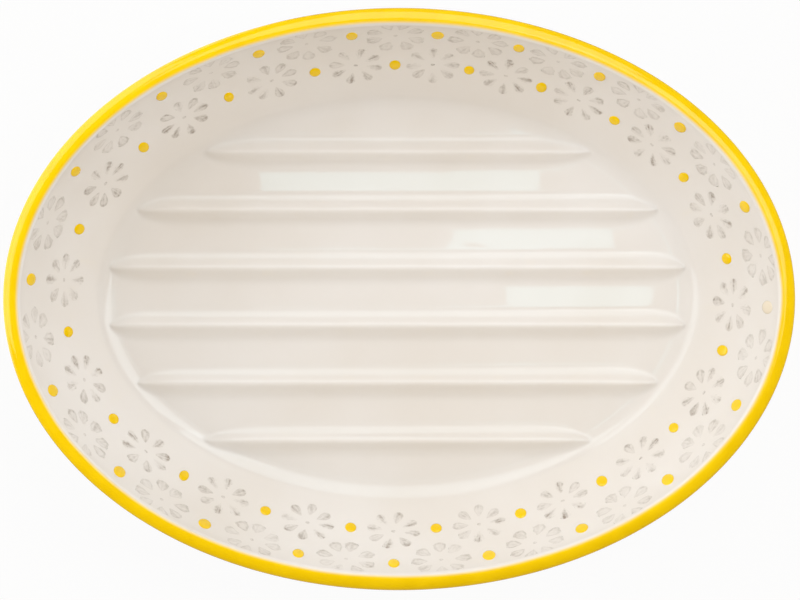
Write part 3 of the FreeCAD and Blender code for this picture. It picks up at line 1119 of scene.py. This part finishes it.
# %% [markdown]
# ## Stamped flowers: the petals
#
# A petal is a sphere pressed almost flat: a closed lens that stands a hundredth of a millimetre proud. It is
# narrow towards the middle of the flower and broad outside. Eight of them and a small dab make a flower,
# and twenty flowers make a row. After Realize Instances each petal is an island of its own, so Random Value
# can give each one its own strength. At the end every point is moved to the nearest spot on the wall, plus
# its own small lift, so that flat flowers follow the curved wall.

# %% One flower
PETAL_COUNT = 8
PETAL_SEGMENTS = 12
PETAL_RINGS = 6
PETAL_LIFT = 0.012 * MM
PETAL_SINK = 0.004 * MM
PETAL_SPREAD = 0.12
PETAL_START_WIDTH_SHARE = 0.45
PETAL_FULL_WIDTH_SHARE = 1.25
PETAL_FULL_WIDTH_PLACE = 0.7
DAB_RADIUS = 0.42 * MM
DAB_LENGTH_SHARE = 0.3
DAB_MIDDLE_SHARE = 0.5


def lens(tree, place_x, place_y, lengthwise):
    """A sphere pressed flat, with its own coordinates stored on it. A petal goes from -1 to 1 lengthwise."""
    _, y, z = parts_of(tree, position(tree))
    shape = ball(tree, PETAL_SEGMENTS, PETAL_RINGS)
    own = {
        "along": lengthwise * 0.5 + 0.5,
        "across": y,
        "edge": (lengthwise * lengthwise + y * y).root(),
        "lift": z * PETAL_LIFT - PETAL_SINK,
    }
    for name, value in own.items():
        shape = store(tree, shape, name, value)
    return moved(tree, shape, vector_of(tree, place_x, place_y, 0.0))


def flower(tree, given):
    """Eight petals round a dab, a little uneven."""
    x, y, _ = parts_of(tree, position(tree))
    broad = x.ramp(-1.0, PETAL_FULL_WIDTH_PLACE, PETAL_START_WIDTH_SHARE, PETAL_FULL_WIDTH_SHARE)
    outwards = (x * 0.5 + 0.5) * given["petal_length"] + given["petal_start"]
    petal = lens(tree, outwards, y * given["petal_width"] * 0.5 * broad, x)

    # The dab takes its coordinates from the outer half of a petal, where the pigment is full.
    dab = lens(tree, x * DAB_RADIUS, y * DAB_RADIUS, x * DAB_LENGTH_SHARE + DAB_MIDDLE_SHARE)
    number = number_of(tree)
    uneven = random_between(tree, -PETAL_SPREAD, PETAL_SPREAD, number, given["seed"])
    turn = vector_of(tree, 0.0, 0.0, (number + uneven) * (math.tau / PETAL_COUNT))
    petals = copies(tree, lay(tree, "GeometryNodePoints", {"Count": PETAL_COUNT}).outputs[0], petal, turn)
    whole = lay(tree, "GeometryNodeJoinGeometry")
    for piece in (petals, dab):
        tree.links.new(piece, whole.inputs[0])
    return whole.outputs[0]


# %% Tree for a row of flowers
def flowers_tree():
    tree, given = new_tree(
        "stamped_flowers", petal_start="number", petal_length="number", petal_width="number", spin="number",
        tone_low="number", tone_high="number", loop_low="number", loop_high="number", **ROW_INPUTS,
    )
    points, stand, wall = row_points(tree, given)
    spin = random_between(tree, given["spin"] * -1.0, given["spin"], number_of(tree), given["seed"] + 1.0)
    spun = {"Rotation": stand, "Rotate By": vector_of(tree, 0.0, 0.0, spin)}
    turn = lay(tree, "FunctionNodeRotateRotation", spun, rotation_space="LOCAL").outputs[0]
    row = realized(tree, copies(tree, points, flower(tree, given), turn))

    # Every petal gets its own strength of colour, and its own share of dark core or pale loop.
    island = island_of(tree)
    tone = random_between(tree, given["tone_low"], given["tone_high"], island, given["seed"] + 2.0)
    loop = random_between(tree, given["loop_low"], given["loop_high"], island, given["seed"] + 3.0)
    for name, value in (("tone", tone), ("loop", loop.between(0.0, 1.0))):
        row = store(tree, row, name, value)

    spot = wall_sample(tree, wall, position(tree))
    lift = {0: wall_facing(tree, wall), "Scale": stored(tree, "lift")}
    raised = lay(tree, "ShaderNodeVectorMath", lift, operation="SCALE").outputs[0]
    on_wall = lay(tree, "ShaderNodeVectorMath", {0: spot, 1: raised}, operation="ADD").outputs[0]
    finish_tree(tree, moved(tree, row, on_wall), given["material"])
    return tree


FLOWERS = flowers_tree()
print("nodes in the flowers' tree:", len(FLOWERS.nodes))

# %% Stamp both rows
UPPER_FLOWER_SHARE = 0.865
LOWER_FLOWER_SHARE = 0.455
FLOWER_ROWS = {
    "upper_row_flowers": dict(
        row=(UPPER_FLOWER_SHARE, 0.5, 21), petal_start=2.2 * MM, petal_length=3.3 * MM, petal_width=2.5 * MM,
        spin=math.pi, tone_low=0.35, tone_high=0.7, loop_low=0.4, loop_high=1.2,
    ),
    "lower_row_flowers": dict(
        row=(LOWER_FLOWER_SHARE, 0.0, 34), petal_start=1.7 * MM, petal_length=3.3 * MM, petal_width=1.95 * MM,
        spin=0.25, tone_low=0.55, tone_high=1.0, loop_low=-0.6, loop_high=0.7,
    ),
}
for name, stamp in FLOWER_ROWS.items():
    settings = {label: value for label, value in stamp.items() if label != "row"}
    flowers = face_outwards(grow(name, FLOWERS, **row_values(*stamp["row"], PRINT), **settings))
    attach(flowers, "root")

# %% [markdown]
# ## Studio: the ground
#
# The dish stands on a white sweep. Camera rays see a plain white ground with only a breath of shadow.
# Diffuse rays see a pale floor, so the ground doesn't light the dish more than paper would. Mirrored in the
# glaze, the ground is dim, so that the glazes keep their full colour. Only on the left does a wedge of the
# ground glow brighter than white, for mirror rays alone. This painted glow takes the place of a white card,
# and the rim mirrors it as a pale highlight. A Light Path node tells these rays apart, so one plane is
# enough.

# %% White sweep
FLOOR_SIZE = 4.0
FLOOR_PAPER = srgb(208, 206, 202)
PAPER_ROUGHNESS = 0.9
WHITE = (1.0, 1.0, 1.0, 1.0)
GROUND_WHITE_SHARE = 0.94
GROUND_MIRRORED = 0.15
# Painted glow: a wedge of the ground shines brighter than white, in reflections only, in place of a bright
# card.
GROUND_GLOW_LEVEL = 1.65
GROUND_GLOW_TURN = math.radians(153)
GROUND_GLOW_HALF_ANGLE = math.radians(40)
GROUND_GLOW_EDGE_ANGLE = math.radians(6)


def ray_kinds(tree):
    """Two fields: 1 for rays from the camera or through glass, and 1 for rays off a mirror."""
    path = lay(tree, "ShaderNodeLightPath")
    camera = Field(tree, path.outputs["Is Camera Ray"])
    seen = camera.math("MAXIMUM", Field(tree, path.outputs["Is Transmission Ray"]))
    return seen, Field(tree, path.outputs["Is Glossy Ray"])


def ground_material():
    material, tree, shader = new_material("white_sweep")
    shader.inputs["Base Color"].default_value = FLOOR_PAPER
    shader.inputs["Roughness"].default_value = PAPER_ROUGHNESS
    seen, mirrored = ray_kinds(tree)
    x, y, _ = parts_of(tree, lay(tree, "ShaderNodeTexCoord").outputs["Object"])
    # Where the painted glow lies on the ground. Only mirror rays see it.
    to_glow = (x * math.cos(GROUND_GLOW_TURN) + y * math.sin(GROUND_GLOW_TURN)) / (x * x + y * y).root()
    outside = math.cos(GROUND_GLOW_HALF_ANGLE + GROUND_GLOW_EDGE_ANGLE)
    inside = math.cos(GROUND_GLOW_HALF_ANGLE - GROUND_GLOW_EDGE_ANGLE)
    mirrored_level = to_glow.ramp(outside, inside, GROUND_MIRRORED, GROUND_GLOW_LEVEL)
    glow = lay(tree, "ShaderNodeEmission", {"Color": WHITE, "Strength": seen + mirrored * mirrored_level})
    share = seen.math("MAXIMUM", mirrored) * GROUND_WHITE_SHARE
    both = lay(tree, "ShaderNodeMixShader", {0: share, 1: shader.outputs[0], 2: glow.outputs[0]})
    plug(tree, tree.nodes["Material Output"].inputs["Surface"], both.outputs[0])
    return material


corners = [(x * FLOOR_SIZE / 2, y * FLOOR_SIZE / 2, 0.0) for x, y in ((-1, -1), (1, -1), (1, 1), (-1, 1))]
ground_mesh = bpy.data.meshes.new("ground")
ground_mesh.from_pydata(corners, [], [(0, 1, 2, 3)])
ground = bpy.data.objects.new("ground", ground_mesh)
ground_mesh.materials.append(ground_material())
bpy.context.scene.collection.objects.link(ground)
ground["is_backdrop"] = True
print("ground:", FLOOR_SIZE, "metres across")

# %% [markdown]
# ## Studio: the world
#
# A pale world gives most of the light. It is a little dimmer and warmer on the near side, as a room is away
# from its windows. The camera sees it white, and mirrored in the glaze it is almost dark, as a studio is
# beside its lamps. A picture of a room could give this light too, but a formula needs no file.

# %% World
WORLD_LEVEL = 0.79
WORLD_NEAR = (0.86, 0.77, 0.665, 1.0)
WORLD_FAR = (1.06, 1.015, 0.94, 1.0)
WORLD_MIRRORED = 0.04

world = bpy.data.worlds.new("studio")
bpy.context.scene.world = world
world.use_nodes = True
sky = world.node_tree
sky_glow = sky.nodes["Background"]
seen, mirrored = ray_kinds(sky)
_, to_far, _ = parts_of(sky, lay(sky, "ShaderNodeTexCoord").outputs["Generated"])
room = mix(sky, to_far * 0.5 + 0.5, WORLD_NEAR, WORLD_FAR)
plug(sky, sky_glow.inputs["Color"], mix(sky, seen, room, WHITE))
strength = seen * (1.0 - WORLD_LEVEL) + mirrored * (WORLD_MIRRORED - WORLD_LEVEL) + WORLD_LEVEL
plug(sky, sky_glow.inputs["Strength"], strength)
print("world level:", WORLD_LEVEL)

# %% [markdown]
# ## Lamps and cards
#
# The reflections tell where bright things stood round the dish. A pale strip lies on the crown of the rim
# from the far side round to the right, and the near corner of the floor mirrors it too: a broad softbox on
# the far side and one on the right. The outer half of the left rim and the right corner of the floor are
# pale: a long low card on the left. The patches on the floor mirror a small panel of three panes beside the
# camera, each one further right.
#
# How bright a lamp looks in the glaze and how much it lights are easier to set apart. So lamps that light
# the dish stay out of mirror rays, and cards and panes that are mirrored stay out of the light.

# %% Lamps, cards and panes
LAMP_DISTANCE = 0.6
LAMP_AIM = Vector((0.0, 0.0, 0.01))
LAMPS = {
    "far_light": dict(azimuth=82, zenith=48, size=(0.23, 0.69), radiance=0.95),
    "right_light": dict(azimuth=26, zenith=28, size=(0.26, 0.26), radiance=4.9),
    "left_light": dict(azimuth=172, zenith=74, size=(0.34, 0.26), radiance=5.4),
}
CARDS = {
    "far_card": dict(azimuth=86, zenith=47.5, size=(0.48, 0.53), radiance=2.1, roll=-25),
    "right_card": dict(azimuth=28, zenith=31.5, size=(0.36, 0.41), radiance=2.3),
    "left_card": dict(azimuth=156, zenith=68.7, size=(0.84, 0.408), radiance=1.95),
}
PANE_DISTANCE = 0.765
PANES = {
    "far_pane": dict(azimuth=47.1, zenith=1.82, size=(0.1, 0.0205), radiance=2.4, roll=42.9),
    "middle_pane": dict(azimuth=-2.2, zenith=4.79, size=(0.058, 0.0205), radiance=2.4, roll=92.2),
    "near_pane": dict(azimuth=-16.2, zenith=6.25, size=(0.062, 0.0205), radiance=2.4, roll=106.2),
}
LAMP_COOLNESS = (0.97, 1.02, 1.11)
CARD_COOLNESS = (0.8, 0.95, 1.0)
PANE_COOLNESS = (0.4, 0.9, 1.0)


def add_lamp(name, azimuth, zenith, size, radiance, distance=LAMP_DISTANCE, roll=0):
    """Rectangular lamp of a given brightness, in a direction from the dish given in degrees."""
    light = bpy.data.lights.new(name, "AREA")
    light.shape = "RECTANGLE"
    light.size, light.size_y = size
    light.energy = radiance * math.pi * size[0] * size[1]
    turn, lean = math.radians(azimuth), math.radians(zenith)
    outwards = Vector((math.sin(lean) * math.cos(turn), math.sin(lean) * math.sin(turn), math.cos(lean)))
    towards_dish = (-outwards).to_track_quat("-Z", "Y")
    lamp = bpy.data.objects.new(name, light)
    lamp.location = LAMP_AIM + outwards * distance
    lamp.rotation_mode = "QUATERNION"
    lamp.rotation_quaternion = towards_dish @ Quaternion((0, 0, 1), math.radians(roll))
    lamp.visible_camera = False
    bpy.context.scene.collection.objects.link(lamp)
    return lamp


for name, settings in LAMPS.items():
    lamp = add_lamp(name, **settings)
    lamp.visible_glossy = False
    lamp.data.color = LAMP_COOLNESS
for name, settings in CARDS.items():
    card = add_lamp(name, **settings)
    card.visible_diffuse = False
    card.data.color = CARD_COOLNESS
for name, settings in PANES.items():
    pane = add_lamp(name, distance=PANE_DISTANCE, **settings)
    pane.visible_diffuse = False
    pane.data.color = PANE_COOLNESS
print("lamps:", list(LAMPS), "cards:", list(CARDS), "panes:", list(PANES))

# %% [markdown]
# ## Camera
#
# The picture looks almost straight down, from a little to the left and the far side, with a long lens.
# Nearly straight down, Blender's usual tracking has no stable up direction, so the camera's axes are
# written out: its right is the dish's length, and its up is the far side.

# %% Camera over the dish
CAMERA_PLACE = Vector((-16.0 * MM, 25.0 * MM, 775.0 * MM))
CAMERA_AIM = Vector((0.0, 0.0, DISH_HEIGHT))
SENSOR_WIDTH = 36.0
FRAME_SPAN = 140.9 * MM

back = (CAMERA_PLACE - CAMERA_AIM).normalized()
right = Vector((0.0, 1.0, 0.0)).cross(back).normalized()
up = back.cross(right)
camera_data = bpy.data.cameras.new("camera")
camera_data.sensor_width = SENSOR_WIDTH
camera_data.lens = SENSOR_WIDTH * (CAMERA_PLACE - CAMERA_AIM).length / FRAME_SPAN
camera = bpy.data.objects.new("camera", camera_data)
camera.matrix_world = Matrix.Translation(CAMERA_PLACE) @ Matrix((right, up, back)).transposed().to_4x4()
bpy.context.scene.collection.objects.link(camera)
bpy.context.scene.camera = camera
bpy.context.scene.view_settings.view_transform = "Standard"
print("lens in mm:", camera_data.lens)

# %% [markdown]
# ## The boxes
#
# The dressed dish is meant to stay inside the CAD model's box, so both boxes are printed side by side.

# %% Print the boxes
seen_low, seen_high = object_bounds()
boxes = {
    "cad": [list(cad_low), list(cad_high)],
    "visual": [list(seen_low), list(seen_high)],
}
for name, box in boxes.items():
    print(name, "box in mm:", [in_mm(corner) for corner in box])
